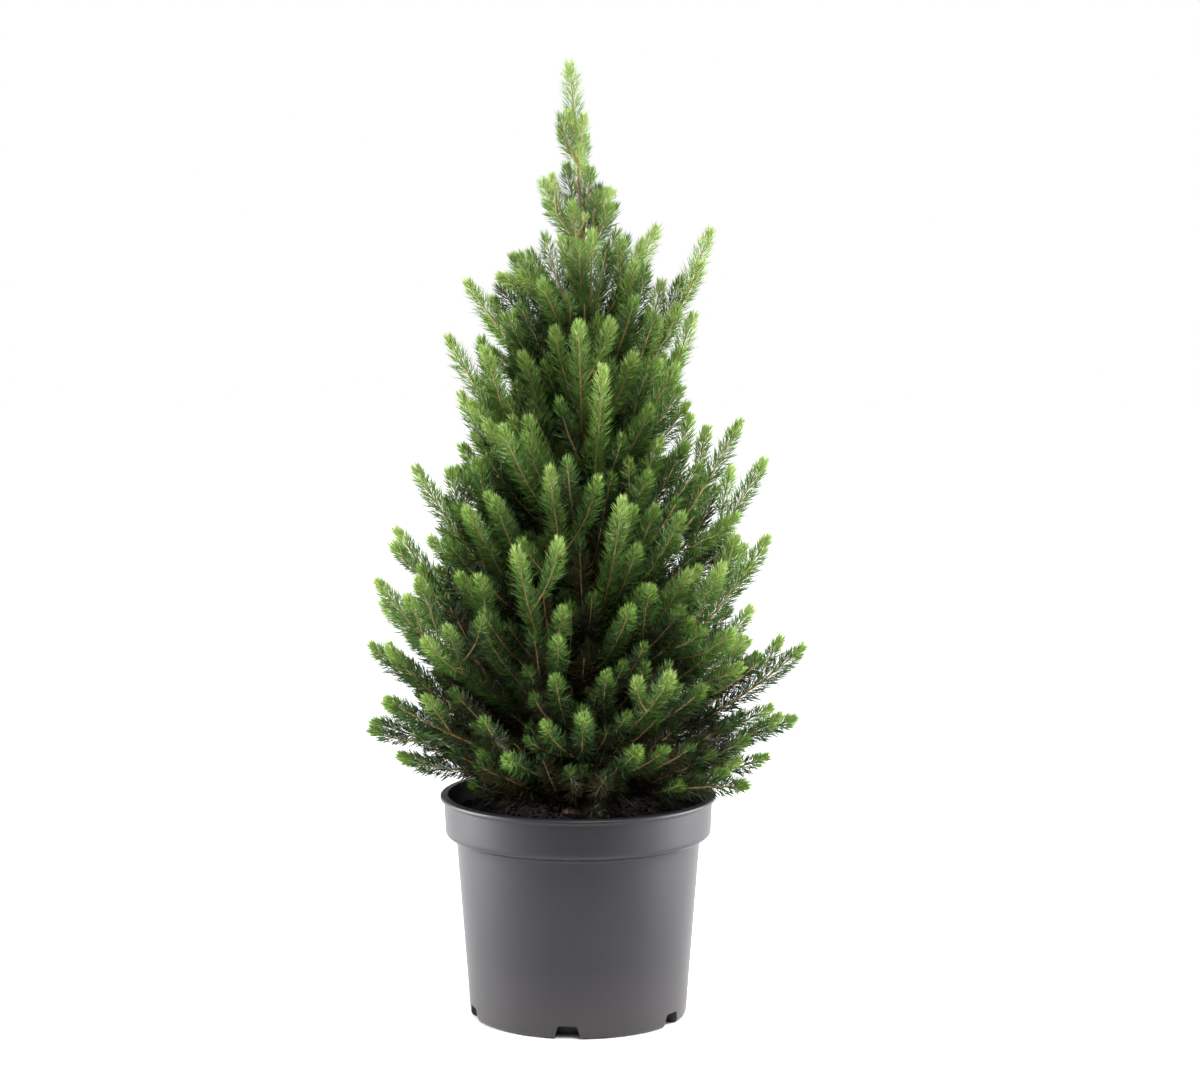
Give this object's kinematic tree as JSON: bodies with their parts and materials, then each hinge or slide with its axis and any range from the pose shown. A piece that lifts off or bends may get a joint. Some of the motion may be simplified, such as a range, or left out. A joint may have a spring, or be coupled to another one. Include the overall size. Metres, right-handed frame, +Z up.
{
  "type": "potted dwarf white spruce",
  "caption": "Young cone-shaped dwarf spruce with tiers of needle-clad boughs round a straight leader, growing in a round plastic nursery pot.",
  "frame": {"origin": "middle of the pot's flat underside", "axes": "+Z up along the pot's axis, -Y towards the front, +X to the right"},
  "size_m": [0.3078, 0.2618, 0.658],
  "materials": {
    "pot_plastic": "satin moulded grey plastic",
    "compost": "dark crumbly compost",
    "bark": "thin scaly brown bark",
    "needles": "fresh green needles, brighter at the shoot tips"
  },
  "bodies": {
    "root": {"pot": "pot_plastic", "soil": "compost", "trunk": "bark", "tier_01_front_bough": "bark", "tier_01_right_bough": "bark", "tier_01_back_bough": "bark", "tier_01_left_bough": "bark", "tier_02_front_bough": "bark", "tier_02_right_bough": "bark", "tier_02_back_bough": "bark", "tier_02_left_bough": "bark", "tier_03_front_bough": "bark", "tier_03_right_bough": "bark", "tier_03_back_bough": "bark", "tier_03_left_bough": "bark", "tier_01_front": "needles", "tier_01_right": "needles", "tier_01_back": "needles", "tier_01_left": "needles", "tier_02_front": "needles", "tier_02_right": "needles", "tier_02_back": "needles", "tier_02_left": "needles", "tier_03_front": "needles", "tier_03_right": "needles", "tier_03_back": "needles", "tier_03_left": "needles", "tier_04_front": "needles", "tier_04_right": "needles", "tier_04_back": "needles", "tier_04_left": "needles", "tier_05_front": "needles", "tier_05_right": "needles", "tier_05_back": "needles", "tier_05_left": "needles", "tier_06_front": "needles", "tier_06_right": "needles", "tier_06_back": "needles", "tier_06_left": "needles", "tier_07_front": "needles", "tier_07_right": "needles", "tier_07_back": "needles", "tier_07_left": "needles", "tier_08_front": "needles", "tier_08_right": "needles", "tier_08_back": "needles", "tier_08_left": "needles", "tier_09_front": "needles", "tier_09_right": "needles", "tier_09_back": "needles", "tier_09_left": "needles", "tier_10_front": "needles", "tier_10_right": "needles", "tier_10_back": "needles", "tier_10_left": "needles", "tier_11_front": "needles", "tier_11_right": "needles", "tier_11_back": "needles", "tier_11_left": "needles", "leader": "needles"}
  },
  "joints": []
}
